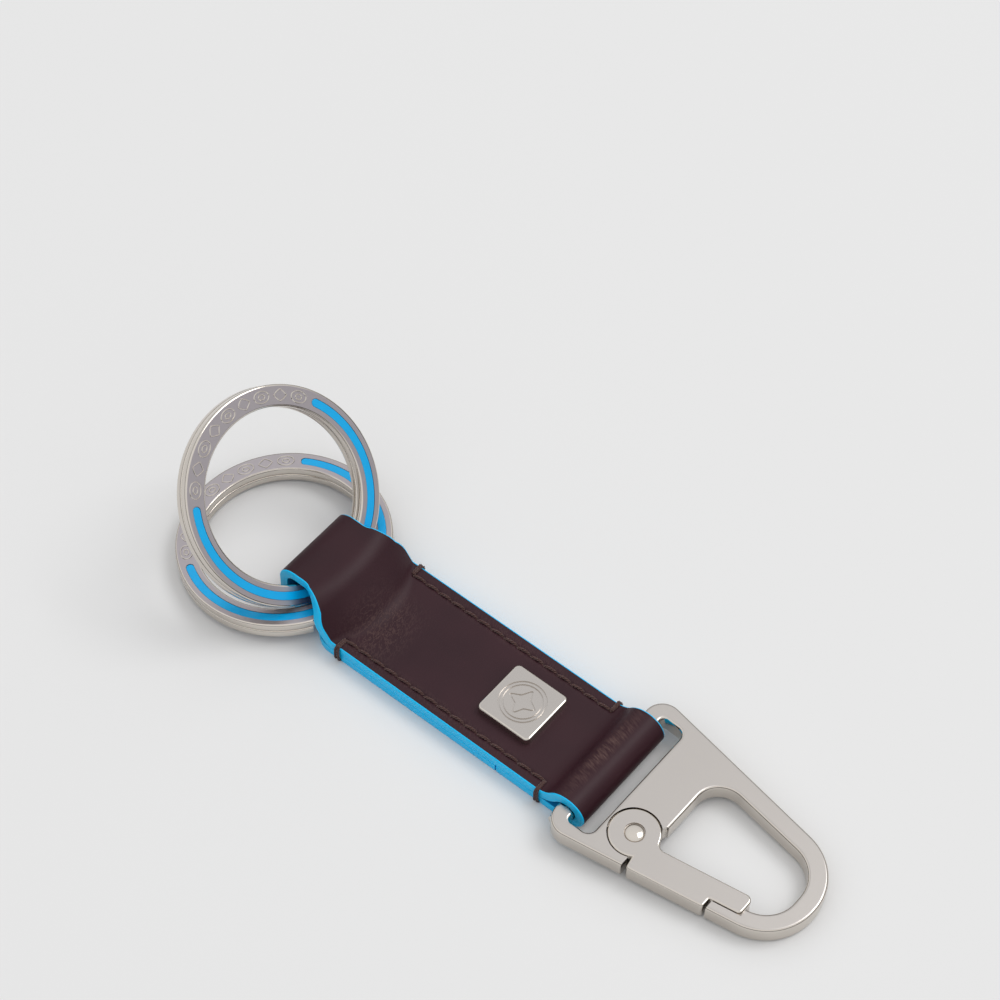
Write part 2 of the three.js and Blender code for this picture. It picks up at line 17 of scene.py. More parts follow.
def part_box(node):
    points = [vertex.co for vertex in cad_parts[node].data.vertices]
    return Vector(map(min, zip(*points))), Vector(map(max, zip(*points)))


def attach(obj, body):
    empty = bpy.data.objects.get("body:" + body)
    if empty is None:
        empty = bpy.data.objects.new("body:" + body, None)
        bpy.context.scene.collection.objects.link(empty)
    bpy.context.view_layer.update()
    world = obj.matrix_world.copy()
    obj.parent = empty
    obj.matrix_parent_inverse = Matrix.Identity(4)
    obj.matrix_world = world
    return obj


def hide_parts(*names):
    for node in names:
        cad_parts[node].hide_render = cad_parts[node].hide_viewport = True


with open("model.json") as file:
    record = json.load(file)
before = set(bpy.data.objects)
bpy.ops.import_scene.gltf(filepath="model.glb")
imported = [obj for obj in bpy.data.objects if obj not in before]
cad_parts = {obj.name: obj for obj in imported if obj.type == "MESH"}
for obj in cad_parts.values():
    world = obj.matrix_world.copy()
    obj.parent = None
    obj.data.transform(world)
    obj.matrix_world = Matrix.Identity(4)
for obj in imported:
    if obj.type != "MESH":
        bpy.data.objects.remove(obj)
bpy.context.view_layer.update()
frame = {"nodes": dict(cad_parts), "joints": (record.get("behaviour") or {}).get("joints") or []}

joints = {joint["name"]: joint for joint in frame["joints"]}

# %% [markdown]
# ## Units and the camera
# The fob is small, so its sizes are written in millimetres and turned into metres where a mesh is made.
# The camera comes first, so that everything after it can be judged in the same view. It stands off
# and looks down at the fob lying on a table, with a long lens that keeps the strap's edges nearly parallel.

# %% Camera
MM = 0.001
SENSOR = 36
LENS = 108
VIEW_AZIMUTH = math.radians(39.63)
VIEW_ELEVATION = math.radians(54)
VIEW_DISTANCE = 489.45
VIEW_TARGET = Vector((-18.86, 30.0, 0))

scene = bpy.context.scene
camera_data = bpy.data.cameras.new("camera")
camera_data.lens = LENS
camera_data.sensor_width = SENSOR
camera_data.clip_start = 0.01
camera = bpy.data.objects.new("camera", camera_data)
scene.collection.objects.link(camera)
flat = math.cos(VIEW_ELEVATION)
aim = (math.sin(VIEW_AZIMUTH) * flat, -math.cos(VIEW_AZIMUTH) * flat, math.sin(VIEW_ELEVATION))
toward = Vector(aim)
camera.location = (VIEW_TARGET + VIEW_DISTANCE * toward) * MM
camera.rotation_euler = (-toward).to_track_quat("-Z", "Y").to_euler()
scene.camera = camera
print("camera at", [round(value, 3) for value in camera.location])

# %% [markdown]
# ## A finish as a formula
# A procedural finish is arithmetic on patterns. `Wire` wraps one value of a material, a node's output,
# and its operators add the Math nodes, so a mask is written as it would be on paper. `Finish` holds one
# material. Its `node` method makes any other node from its type, its settings and its inputs.

# %% Wires and finishes
class Wire:
    def __init__(self, finish, socket):
        self.finish = finish
        self.socket = socket

    def math(self, operation, *others, clamp=False):
        settings = {"operation": operation, "use_clamp": clamp}
        return self.finish.node("ShaderNodeMath", settings, dict(enumerate((self, *others))))

    def __add__(self, other):
        return self.math("ADD", other)

    def __radd__(self, other):
        return self.math("ADD", other)

    def __sub__(self, other):
        return self.math("SUBTRACT", other)

    def __rsub__(self, other):
        return self.finish.node("ShaderNodeMath", {"operation": "SUBTRACT"}, {0: other, 1: self})

    def __mul__(self, other):
        return self.math("MULTIPLY", other)

    def __rmul__(self, other):
        return self.math("MULTIPLY", other)

    def __truediv__(self, other):
        return self.math("DIVIDE", other)

    def __abs__(self):
        return self.math("ABSOLUTE")

    def clamp(self):
        return self.math("ADD", 0.0, clamp=True)


class Finish:
    def __init__(self, name, **constants):
        self.material = bpy.data.materials.new(name)
        self.material.use_nodes = True
        self.tree = self.material.node_tree
        self.shader = self.tree.nodes["Principled BSDF"]
        for socket, value in constants.items():
            self.shader.inputs[socket.replace("_", " ")].default_value = value

    def node(self, kind, settings=None, inputs=None, output=0):
        made = self.tree.nodes.new(kind)
        for name, value in (settings or {}).items():
            if name == "stops":
                self.set_stops(made.color_ramp, value)
            else:
                setattr(made, name, value)
        for name, value in (inputs or {}).items():
            if isinstance(value, Wire):
                self.tree.links.new(value.socket, made.inputs[name])
            else:
                made.inputs[name].default_value = value
        return Wire(self, made.outputs[output])

    @staticmethod
    def set_stops(ramp, stops):
        while len(ramp.elements) < len(stops):
            ramp.elements.new(0.5)
        for element, (position, colour) in zip(ramp.elements, stops):
            element.position = position
            element.color = colour

    def place(self):
        """Where a point of the piece is, in the frame, in metres."""
        return self.node("ShaderNodeTexCoord", output="Object")

    def axes(self):
        """The X, Y and Z of that place, in millimetres."""
        whole = self.node("ShaderNodeVectorMath", {"operation": "SCALE"}, {0: self.place(), "Scale": 1 / MM})
        return [self.node("ShaderNodeSeparateXYZ", inputs={0: whole}, output=axis) for axis in range(3)]

    def noise(self, size, detail=3.0, roughness=0.5, place=None):
        """A soft pattern whose lumps are about this many millimetres across."""
        inputs = {"Vector": place or self.place(), "Scale": 1 / (size * MM), "Detail": detail}
        inputs["Roughness"] = roughness
        return self.node("ShaderNodeTexNoise", inputs=inputs)

    def mix(self, amount, first, second):
        """A colour between two, by an amount from 0 to 1."""
        settings = {"data_type": "RGBA"}
        return self.node("ShaderNodeMix", settings, {0: amount, 6: first, 7: second}, output=2)

    def feed(self, socket, wire):
        self.tree.links.new(wire.socket, self.shader.inputs[socket])

    def bump(self, height, depth):
        """Relief of this depth in millimetres, for a height that goes from 0 to 1."""
        inputs = {"Height": height, "Distance": depth * MM, "Strength": 1.0}
        self.feed("Normal", self.node("ShaderNodeBump", inputs=inputs))


def rgb(red, green, blue):
    """A colour as a paint chart gives it, from 0 to 255, as the linear light that a shader wants."""
    linear = [(part / 255) ** 2.2 for part in (red, green, blue)]
    return (*linear, 1.0)


# %% [markdown]
# ## Leather
# The strap is smooth aniline calf, dyed a very dark brown with a plum cast. Close to, it has fine pores,
# a slow drift of colour, and two worn places: little wrinkles on the shoulder above the rings, and short
# rubbed strokes on the crest over the hook's bar. Bump carries the pores, and a mask along X places the wear.

# %% Leather finish
LEATHER_DARK = rgb(48, 26, 33)
LEATHER_WARM = rgb(58, 32, 39)
LEATHER_WORN = rgb(112, 88, 82)
SHOULDER_X = -15.5
ROW_Y = 8.3
CREST_X = 26.2


def band(coordinate, centre, reach):
    """1 at the centre, falling to 0 at the reach on either side."""
    return (1 - abs(coordinate - centre) / reach).clamp()


def leather_finish():
    finish = Finish("dark_calf_leather", Specular_IOR_Level=0.24, Coat_Weight=0.04, Coat_Roughness=0.3)
    x, y, z = finish.axes()
    drift = finish.noise(9, detail=2)
    pores = finish.noise(0.32, detail=4, roughness=0.6)
    strokes = finish.node("ShaderNodeCombineXYZ", inputs={0: x * 0.7, 1: y * 3.4 + x * 1.1, 2: z * 0.7})
    worn_lines = finish.node("ShaderNodeTexNoise", inputs={"Vector": strokes, "Scale": 1.0, "Detail": 5.0})
    crest = (band(x, CREST_X, 1.5) * 1.6).clamp() * band(y, 0.5, 11.5)
    rubbed = (crest * (worn_lines * 3.4 - 1.35).clamp()).clamp()
    across = finish.node("ShaderNodeCombineXYZ", inputs={0: x * 2.4 + y * 0.7, 1: y * 0.9, 2: z * 1.6})
    wrinkles = finish.node("ShaderNodeTexNoise", inputs={"Vector": across, "Scale": 1.0, "Detail": 4.0})
    beside_rows = band(abs(y), ROW_Y, 1.5) * band(x, 1.5, 24.0) * 0.8
    creased = (band(x, SHOULDER_X, 6.0) * band(y, -3.0, 8.5) * 1.6 + beside_rows).clamp()
    folds = creased * (1 - abs(wrinkles - 0.5) * 17).clamp()
    tone = finish.mix((drift * 1.6 - 0.3).clamp(), LEATHER_DARK, LEATHER_WARM)
    worn = finish.mix((folds * 0.34 + rubbed * 0.7).clamp(), tone, LEATHER_WORN)
    finish.feed("Base Color", worn)
    finish.feed("Roughness", 0.44 + pores * 0.12 + folds * 0.1 + rubbed * 0.12)
    finish.bump(pores * 0.4 + folds * 0.6 + rubbed * 0.4, 0.04)
    return finish.material


leather = leather_finish()
print("finish:", leather.name, len(leather.node_tree.nodes), "nodes")

# %% [markdown]
# ## Edge paint, lining and thread
# Cut edges are sealed with several coats of acrylic edge paint, sanded between coats, which dries to a
# smooth satin skin with faint waves. The lining is the same blue, but it is a thin leather and more matt.
# The thread is bonded polyester: its shine is low and its fibres show as fine slanting lines.

# %% Blue finishes and thread
EDGE_BLUE = rgb(20, 200, 255)
EDGE_DEEP = rgb(10, 190, 250)
LINING_BLUE = rgb(16, 150, 214)
LINING_DEEP = rgb(8, 128, 192)
THREAD_DARK = rgb(48, 29, 30)
THREAD_LIGHT = rgb(98, 66, 60)


def patterned_finish(name, size, detail, grain, colours, shine, depth, **constants):
    """One soft pattern drives the colour, the roughness and the relief."""
    finish = Finish(name, **constants)
    pattern = finish.noise(size, detail=detail, roughness=grain)
    finish.feed("Base Color", finish.mix(pattern, *colours))
    finish.feed("Roughness", shine[0] + pattern * shine[1])
    finish.bump(pattern, depth)
    return finish.material


edge_paint = patterned_finish("blue_edge_paint", 1.6, 2, 0.5, (EDGE_BLUE, EDGE_DEEP), (0.34, 0.12), 0.03,
                              Coat_Weight=0.1, Coat_Roughness=0.25, Specular_IOR_Level=0.3)
lining = patterned_finish("blue_lining_leather", 0.4, 4, 0.6, (LINING_BLUE, LINING_DEEP), (0.5, 0.2), 0.03,
                          Specular_IOR_Level=0.35)
thread = patterned_finish("brown_bonded_thread", 0.12, 3, 0.7, (THREAD_DARK, THREAD_LIGHT), (0.62, 0.25),
                          0.04, Sheen_Weight=0.3, Specular_IOR_Level=0.3)
print("finishes:", edge_paint.name, lining.name, thread.name)

# %% [markdown]
# ## Nickel and enamel
# Hook and rings are plated twice over: their broad faces are left satin and their walls and rounded
# edges are buffed bright. One function makes both from a few numbers. The satin one gets a very fine
# directionless grain and a slow drift in roughness, and the bright one only a trace of orange peel.
# Enamel is poured into its groove and fired, so it is glassy and lies a hair below the metal.

# %% Metal and enamel finishes
def nickel_finish(name, light, dark, roughness, grain_size, grain_depth):
    finish = Finish(name, Metallic=1.0)
    grain = finish.noise(grain_size, detail=4, roughness=0.65)
    drift = finish.noise(6, detail=2)
    finish.feed("Base Color", finish.mix((drift * 0.7 + grain * 0.3).clamp(), light, dark))
    finish.feed("Roughness", roughness + grain * roughness * 0.25 + drift * 0.03)
    finish.bump(grain, grain_depth)
    return finish.material


bright_nickel = nickel_finish("bright_nickel", rgb(214, 208, 200), rgb(208, 200, 191), 0.07, 1.4, 0.002)
satin_nickel = nickel_finish("satin_nickel", rgb(188, 183, 179), rgb(182, 177, 173), 0.28, 0.09, 0.0025)
ring_satin = nickel_finish("ring_satin_nickel", rgb(184, 177, 181), rgb(176, 170, 174), 0.32, 0.09, 0.003)
spring_steel = nickel_finish("drawn_spring_steel", rgb(150, 150, 154), rgb(138, 138, 142), 0.28, 0.1, 0.003)


enamel = patterned_finish("blue_enamel", 2.2, 2, 0.5, (rgb(2, 176, 240), rgb(0, 166, 232)), (0.2, 0.06), 0.02,
                          Coat_Weight=0.15, Coat_Roughness=0.06, Specular_IOR_Level=0.3)
metals = (bright_nickel, satin_nickel, ring_satin, spring_steel)
print("finishes:", *(metal.name for metal in metals), enamel.name)

# %% [markdown]
# ## Making meshes
# Every piece below is made from points in millimetres. `mesh_piece` turns them into an object and gives it
# its finishes, and `settle` lets it ride on its body. Edges sharper than a set angle stay crisp and the rest
# are shaded smooth, except round a level face, which keeps its own normal up to its bevel.

# %% Helper: a piece from points and faces
CRISP = math.radians(38)
LEVEL = 0.9999
SLIGHT = math.radians(6)


def shade(piece, crisp=CRISP):
    mesh = piece.data
    work = bmesh.new()
    work.from_mesh(mesh)
    for face in work.faces:
        face.smooth = True
    for edge in work.edges:
        sides = {abs(face.normal.z) > LEVEL for face in edge.link_faces}
        limit = crisp if len(sides) == 1 else SLIGHT
        edge.smooth = len(edge.link_faces) == 2 and edge.calc_face_angle(0) < limit
    work.to_mesh(mesh)
    work.free()
    weigh = piece.modifiers.new("even_normals", "WEIGHTED_NORMAL")
    weigh.keep_sharp = True
    weigh.weight = 100


def mesh_piece(name, points, faces, finishes, slots=None):
    mesh = bpy.data.meshes.new(name)
    mesh.from_pydata([Vector(point) * MM for point in points], [], faces)
    for finish in finishes:
        mesh.materials.append(finish)
    if slots is not None:
        mesh.polygons.foreach_set("material_index", slots)
    mesh.update()
    piece = bpy.data.objects.new(name, mesh)
    scene.collection.objects.link(piece)
    return piece


def tube_faces(rows, sides, start=0, closed=False):
    """The quads between rings of points, with an end face on the first and last unless it is closed."""
    faces = []
    for i in range(rows if closed else rows - 1):
        here = start + i * sides
        there = start + (i + 1) % rows * sides
        for k in range(sides):
            onward = (k + 1) % sides
            faces.append((here + k, here + onward, there + onward, there + k))
    if not closed:
        faces.append(tuple(range(start, start + sides))[::-1])
        faces.append(tuple(range(start + (rows - 1) * sides, start + rows * sides)))
    return faces


def settle(piece, body, nodes=()):
    """Hands a finished piece to its body, and hides the CAD nodes that it stands for."""
    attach(piece, body)
    if nodes:
        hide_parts(*nodes)
    print(f"{piece.name}: {len(piece.data.vertices)} points on {body}")
    return piece


def outward(piece):
    work = bmesh.new()
    work.from_mesh(piece.data)
    bmesh.ops.recalc_face_normals(work, faces=work.faces)
    work.to_mesh(piece.data)
    work.free()
    return piece


# %% Helper: cutting and joining
def boolean(piece, operation, *others):
    """Cuts the others out of a piece, or joins them to it, and removes them."""
    for other in others:
        step = piece.modifiers.new(operation, "BOOLEAN")
        step.operation = operation
        step.solver = "EXACT"
        step.object = other
        bake(piece)
        bpy.data.objects.remove(other)
    return piece


def bake(piece):
    """Turns a piece with modifiers, or a curve, into its final mesh."""
    bpy.context.view_layer.update()
    graph = bpy.context.evaluated_depsgraph_get()
    mesh = bpy.data.meshes.new_from_object(piece.evaluated_get(graph))
    piece.modifiers.clear()
    piece.data = mesh
    return piece


# %% [markdown]
# ## The strap's side view
# Seen from the side the strip runs from the butt joint underneath to the ring loop, back along the top,
# round the hook's bar and home again. Its inner face is drawn first, as arcs and straight runs, each with
# a fixed number of points. Two versions are drawn, one for the middle of the strap and one for its
# edges, because the strip stays up longer over the rings than beside them, and the surface blends
# from one to the other.

# %% The inner face's path
LEATHER = 1.15
LINING = 0.5
RUN = LEATHER + LINING
GLUE = 0.1
TOP = 2 * RUN + GLUE
RING_LOOP_END = -31.65
RING_LOOP_TOP = 8.05
BOTTOM_RADIUS = 1.9
TOP_RADIUS = 1.7
MIDDLE = {"crotch": -15.0, "rise": math.radians(42), "hollow": 6.0, "shoulder": 3.0}
EDGE = {"crotch": -19.1, "rise": math.radians(52), "hollow": 2.8, "shoulder": 3.4}
BUTT_JOINT = 13.35
BUTT_GAP = 0.3
HOOK_RISE = 21.2
HOLLOW_SHARE = 0.66
BAR_RADIUS = 1.4
BAR_CLEAR = 0.15
bar = Vector(joints["hook_swing"]["pos_m"]) / MM


def arc(centre, radius, start, end, count):
    return [
        (centre[0] + radius * math.cos(angle), centre[1] + radius * math.sin(angle))
        for angle in np.linspace(start, end, count)
    ]


def straight(start, end, count):
    return [tuple(point) for point in np.linspace(start, end, count + 2)[1:-1]]


def inner_face(profile):
    crotch, rise, round_in, round_out = profile.values()
    low = RUN
    high = RUN + GLUE
    half = math.pi / 2
    path = []

    def carry_on(points, count):
        if path and count:
            path.extend(straight(path[-1], points[0], count))
        path.extend(points)

    carry_on([(BUTT_JOINT - BUTT_GAP / 2, low)], 0)
    bottom = (RING_LOOP_END + BOTTOM_RADIUS, low + BOTTOM_RADIUS)
    carry_on(arc(bottom, BOTTOM_RADIUS, -half, -math.pi, 12), 70)
    top = (RING_LOOP_END + TOP_RADIUS, RING_LOOP_TOP - TOP_RADIUS)
    carry_on(arc(top, TOP_RADIUS, math.pi, half, 12), 6)
    crotch_top = (crotch - round_in * math.sin(rise), high + round_in * (1 - math.cos(rise)))
    slope_top = RING_LOOP_TOP - round_out * (1 - math.cos(rise))
    slope_x = crotch_top[0] - (slope_top - crotch_top[1]) / math.tan(rise)
    shoulder = (slope_x - round_out * math.sin(rise), RING_LOOP_TOP - round_out)
    carry_on(arc(shoulder, round_out, half, half - rise, 16), 8)
    carry_on(arc((crotch, high + round_in), round_in, -half - rise, -half, 24), 14)
    turn = BAR_RADIUS + BAR_CLEAR
    climb = bar.z + turn - high
    across = bar.x - HOOK_RISE
    bends = (climb**2 + across**2) / (2 * climb)
    lean = math.asin(across / bends)
    hollow = bends * HOLLOW_SHARE
    crest = bends - hollow
    carry_on(arc((HOOK_RISE, high + hollow), hollow, -half, -half + lean, 12), 190)
    carry_on(arc((bar.x, bar.z + turn - crest), crest, half + lean, half, 12)[1:], 0)
    carry_on(arc((bar.x, bar.z), turn, half, -half, 30)[1:], 0)
    carry_on([(BUTT_JOINT + BUTT_GAP / 2, bar.z - turn)], 40)
    return np.array(path)


face_middle = inner_face(MIDDLE)
face_edge = inner_face(EDGE)
print("path points:", len(face_middle), "and", len(face_edge))

# %% [markdown]
# ## The strip as a surface
# A layer of the strip, leather or lining, is a closed skin: at each point of the path stands a cross
# section, a flat bar with small rounded corners, as wide as the strap's plan is there. The faces on the
# narrow sides and at the butt joint take the edge paint. The stitch rows press a shallow furrow into the
# top run, and each needle hole a dimple.

# %% The strap's plan and relief
FULL_HALF = 10.0
LOOP_HALF = 7.1
TAPER_END = -20.6
TAPER_START = -27.5
ROW = 8.1
ROW_START = -18.7
ROW_END = 21.5
STITCHES = 15
holes = np.linspace(ROW_START, ROW_END, STITCHES + 1)
blend_steps = np.linspace(0, 1, 40)
FURROW_REACH = 0.42
FURROW_DEPTH = 0.13
DIMPLE_REACH = 0.3
DIMPLE_DEPTH = 0.24


def half_width(x):
    along = np.clip((x - TAPER_START) / (TAPER_END - TAPER_START), 0, 1)
    eased = np.interp(along, 1.5 * blend_steps - 1.5 * blend_steps**2 + blend_steps**3,
                      3 * blend_steps**2 - 2 * blend_steps**3)
    return LOOP_HALF + (FULL_HALF - LOOP_HALF) * eased


def smooth(value, low, high):
    part = np.clip((value - low) / (high - low), 0, 1)
    return part * part * (3 - 2 * part)


def furrow(x, y):
    """How far the stitching presses the top of the leather down at a place."""
    beside_row = (np.abs(y) - ROW) / FURROW_REACH
    in_row = smooth(x, ROW_START - 1.0, ROW_START) * (1 - smooth(x, ROW_END, ROW_END + 1.0))
    nearest = np.abs(x[..., None] - holes).min(axis=-1)
    dimple = np.exp(-((nearest / DIMPLE_REACH) ** 2) - beside_row**2 * 1.6)
    return in_row * (FURROW_DEPTH * np.exp(-(beside_row**2)) + DIMPLE_DEPTH * dimple)


# %% One layer of the strip
OUTER_CORNER = 0.22
GLUED_CORNER = 0.04
MEETING_CORNER = 0.1
SIDE_STEPS = 3
EDGE_ZONE = 9.0


def section(near, far, near_corner, far_corner):
    """The cross section's points as (place across from -1 to 1, inset from the edge, depth), in order."""
    across = np.unique(np.concatenate([np.linspace(-1, 1, 41), np.linspace(-0.88, -0.74, 9),
                                       np.linspace(0.74, 0.88, 9)]))[1:-1]
    bend = np.linspace(0, math.pi / 2, SIDE_STEPS + 1)

    def corner(side, face, radius, angles):
        inward = 1 if face == near else -1
        return [(side, radius * (1 - math.sin(angle)), face + inward * radius * (1 - math.cos(angle)))
                for angle in angles]

    return (
        [(t, 0.0, far) for t in across]
        + corner(1, far, far_corner, bend) + corner(1, near, near_corner, bend[::-1])
        + [(t, 0.0, near) for t in across[::-1]]
        + corner(-1, near, near_corner, bend) + corner(-1, far, far_corner, bend[::-1])
    )


def strip_layer(name, near, far, corners, finishes, furrowed):
    ring = section(near, far, *corners)
    place = np.array([part[0] for part in ring])
    inset = np.array([part[1] for part in ring])
    depth = np.array([part[2] for part in ring])
    widths = half_width(face_middle[:, 0])
    y = place[None, :] * (widths[:, None] - inset)
    beside = ((y / EDGE_ZONE) ** 2)[..., None]
    path = face_middle[:, None, :] * (1 - beside) + face_edge[:, None, :] * beside
    along = np.gradient(path, axis=0)
    along /= np.linalg.norm(along, axis=2, keepdims=True)
    out = np.stack([-along[..., 1], along[..., 0]], axis=2)
    lift = np.broadcast_to(depth, y.shape).copy()
    if furrowed:
        on_top = (path[..., 1] > RUN) & (along[..., 0] > 0) & (depth[None, :] == far)
        lift -= np.where(on_top, furrow(path[..., 0], y), 0)
    spot = path + out * lift[..., None]
    points = np.stack([spot[..., 0], y, spot[..., 1]], axis=2).reshape(-1, 3)
    rows, columns = y.shape
    on_edge = [int(abs(place[j]) == 1 and abs(place[(j + 1) % columns]) == 1) for j in range(columns)]
    faces = tube_faces(rows, columns)
    slots = on_edge * (rows - 1) + [1, 1]
    return outward(mesh_piece(name, points, faces, finishes, slots))


outer_corners = (GLUED_CORNER, OUTER_CORNER)
inner_corners = (MEETING_CORNER, GLUED_CORNER)
strap_outer = strip_layer("strap_outer", LINING, RUN, outer_corners, [leather, edge_paint], True)
strap_inner = strip_layer("strap_inner", 0.0, LINING, inner_corners, [lining, edge_paint], False)
print("strip layers made")

# %% [markdown]
# ## Slots for the badge
# The badge's prongs pass through slots in the leather, and its washer lies in a window in the lining.
# They are hidden once the fob is made up, but they are cut all the same, so that nothing overlaps inside.

# %% Cut the badge's slots and window
def box_tool(low, high):
    x0, y0, z0 = low
    x1, y1, z1 = high
    points = [(x, y, z) for x in (x0, x1) for y in (y0, y1) for z in (z0, z1)]
    faces = [(0, 1, 3, 2), (4, 6, 7, 5), (0, 4, 5, 1), (2, 3, 7, 6), (0, 2, 6, 4), (1, 5, 7, 3)]
    return outward(mesh_piece("tool", points, faces, [leather]))


badge_low, badge_high = (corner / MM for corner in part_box("badge_plate"))
badge_middle = (badge_low + badge_high) / 2
PRONG_REACH = 3.1
PRONG_HALF = 0.3
WASHER_THICK = 0.35
SNUG = 0.05
WINDOW = 4.7
slot_tools = [
    box_tool((badge_middle.x + side * PRONG_REACH - PRONG_HALF, -1.2, RUN),
             (badge_middle.x + side * PRONG_REACH + PRONG_HALF, 1.2, TOP + 1))
    for side in (-1, 1)
]
boolean(strap_outer, "DIFFERENCE", *slot_tools)
window = box_tool((badge_middle.x - WINDOW, -WINDOW, LEATHER - 0.02),
                  (badge_middle.x + WINDOW, WINDOW, TOP - LEATHER + 0.02))
boolean(strap_inner, "DIFFERENCE", window)
shade(strap_outer, math.radians(50))
shade(strap_inner, math.radians(50))
settle(strap_outer, "strap", ["strap_leather"])
settle(strap_inner, "strap", ["strap_lining"])

# %% [markdown]
# ## Stitching
# A lockstitch shows one short length of thread between each pair of holes. Thread is three plies twisted
# together, so each length is made as three round strands winding round one curved line, which dips into
# the hole at either end. The last stitches turn over the strap's edge and lock the row.

# %% Helper: twisted thread along a line
PLY = 0.125
PLY_ORBIT = 0.125
TWIST = 1.5
PLY_SIDES = 6


def twisted(line, steps, phase=0.0):
    """Points and faces of three plies wound round a line, which is a list of points."""
    line = np.array(line, float)
    length = np.concatenate([[0], np.cumsum(np.linalg.norm(np.diff(line, axis=0), axis=1))])
    wanted = np.linspace(0, length[-1], steps)
    centre = np.stack([np.interp(wanted, length, line[:, axis]) for axis in range(3)], axis=1)
    ahead = np.gradient(centre, axis=0)
    ahead /= np.linalg.norm(ahead, axis=1, keepdims=True)
    side = np.cross(ahead, (0.31, 0.42, 0.85))
    side /= np.linalg.norm(side, axis=1, keepdims=True)
    up = np.cross(side, ahead)
    points = []
    faces = []
    for ply in range(3):
        turn = phase + 2 * math.pi * (ply / 3 + wanted / TWIST)
        core = centre + PLY_ORBIT * (side * np.cos(turn)[:, None] + up * np.sin(turn)[:, None])
        start = len(points)
        for i in range(steps):
            for k in range(PLY_SIDES):
                angle = 2 * math.pi * k / PLY_SIDES
                points.append(core[i] + PLY * (side[i] * math.cos(angle) + up[i] * math.sin(angle)))
        faces += tube_faces(steps, PLY_SIDES, start)
    return points, faces


def thread_piece(name, lines, body_nodes):
    points = []
    faces = []
    for number, (line, steps) in enumerate(lines):
        new_points, new_faces = twisted(line, steps, phase=number * 1.3)
        faces += [tuple(index + len(points) for index in face) for face in new_faces]
        points += new_points
    piece = outward(mesh_piece(name, points, faces, [thread]))
    shade(piece, math.radians(60))
    return settle(piece, "strap", body_nodes)


# %% Needle and bobbin threads
THREAD_LIFT = 0.13
HOLE_DIP = 0.5
SLANT = 0.13
EDGE_CLEAR = 0.34
UNDER = 0.36
UNDER_DIP = 0.2


def hole_to_hole(start, end, steps):
    """Places along a stitch, which begins and ends just inside its holes."""
    return start + (end - start) * (0.06 + 0.88 * steps)


def top_stitch(start, end, side):
    """One length of needle thread, from hole to hole, slanting a little across the row."""
    steps = np.linspace(0, 1, 15)
    arch = np.sin(math.pi * steps) ** 0.45
    x = hole_to_hole(start, end, steps)
    y = side * ROW + SLANT * (2 * steps - 1)
    z = TOP - HOLE_DIP + (HOLE_DIP + THREAD_LIFT) * arch
    return list(zip(x, y, z))


def bottom_stitch(start, end, side):
    """One length of bobbin thread underneath, pulled up a little at its holes."""
    steps = np.linspace(0, 1, 11)
    x = hole_to_hole(start, end, steps)
    y = side * ROW - SLANT * (2 * steps - 1)
    z = UNDER + UNDER_DIP * (1 - np.sin(math.pi * steps) ** 0.5)
    return list(zip(x, y, z))


def over_edge(x, side, lean):
    """The thread's last turn: out of the end hole, over the edge, down the side and under."""
    edge = FULL_HALF + EDGE_CLEAR
    inner = ROW - 0.1
    corners = [
        (inner, TOP - HOLE_DIP), (inner + 0.25, TOP + THREAD_LIFT), (edge - 0.35, TOP + THREAD_LIFT + 0.04),
        (edge, TOP - 0.3), (edge, UNDER + 0.4), (edge - 0.35, UNDER - 0.02), (ROW + 0.9, UNDER),
    ]
    count = len(corners) - 1
    return [(x + lean * i / count, side * y, z) for i, (y, z) in enumerate(corners)]


for side, label in ((-1, "near"), (1, "far")):
    lines = [(top_stitch(a, b, side), 22) for a, b in zip(holes[:-1], holes[1:])]
    for x, lean in ((ROW_START, -0.35), (ROW_START + 0.15, 0.4), (ROW_END, -0.25), (ROW_END + 0.05, 0.45)):
        lines.append((over_edge(x, side, lean), 44))
    thread_piece(f"needle_stitches_{label}", lines, [f"needle_thread_{label}"])
    under = [(bottom_stitch(a, b, side), 16) for a, b in zip(holes[:-1], holes[1:])]
    thread_piece(f"bobbin_stitches_{label}", under, [f"bobbin_thread_{label}"])

# %% [markdown]
# ## Plates
# The badge, the hook and its gate are all plates: an outline with holes, a thickness and soft edges. A
# filled 2D curve does this in one go, because its bevel rounds every edge, outer and inner. A negative
# offset draws the outline in by the bevel, so that the plate keeps its true size.

# %% Helper: outlines and plates
def rounded_outline(corners, step=math.radians(5)):
    """A closed outline through corners (x, y, radius), each rounded by an arc of its radius."""
    spots = [Vector(corner[:2]) for corner in corners]
    outline = []
    for i, corner in enumerate(spots):
        radius = corners[i][2]
        back = (spots[i - 1] - corner).normalized()
        onward = (spots[(i + 1) % len(spots)] - corner).normalized()
        half = math.acos(back.dot(onward)) / 2
        middle = (back + onward).normalized()
        centre = corner + middle * radius / math.sin(half)
        enter = corner + back * radius / math.tan(half) - centre
        leave = corner + onward * radius / math.tan(half) - centre
        start = math.atan2(enter.y, enter.x)
        sweep = (math.atan2(leave.y, leave.x) - start + math.pi) % (2 * math.pi) - math.pi
        count = max(2, math.ceil(abs(sweep) / step) + 1)
        outline += arc(centre, radius, start, start + sweep, count)
    return outline


def disc_outline(x, y, radius, count=96):
    return arc((x, y), radius, 0, 2 * math.pi * (1 - 1 / count), count)


def turned(outline, clockwise):
    """The outline, wound the way that is asked for."""
    area = sum(a[0] * b[1] - b[0] * a[1] for a, b in zip(outline, outline[1:] + outline[:1]))
    return outline[::-1] if (area < 0) != clockwise else outline


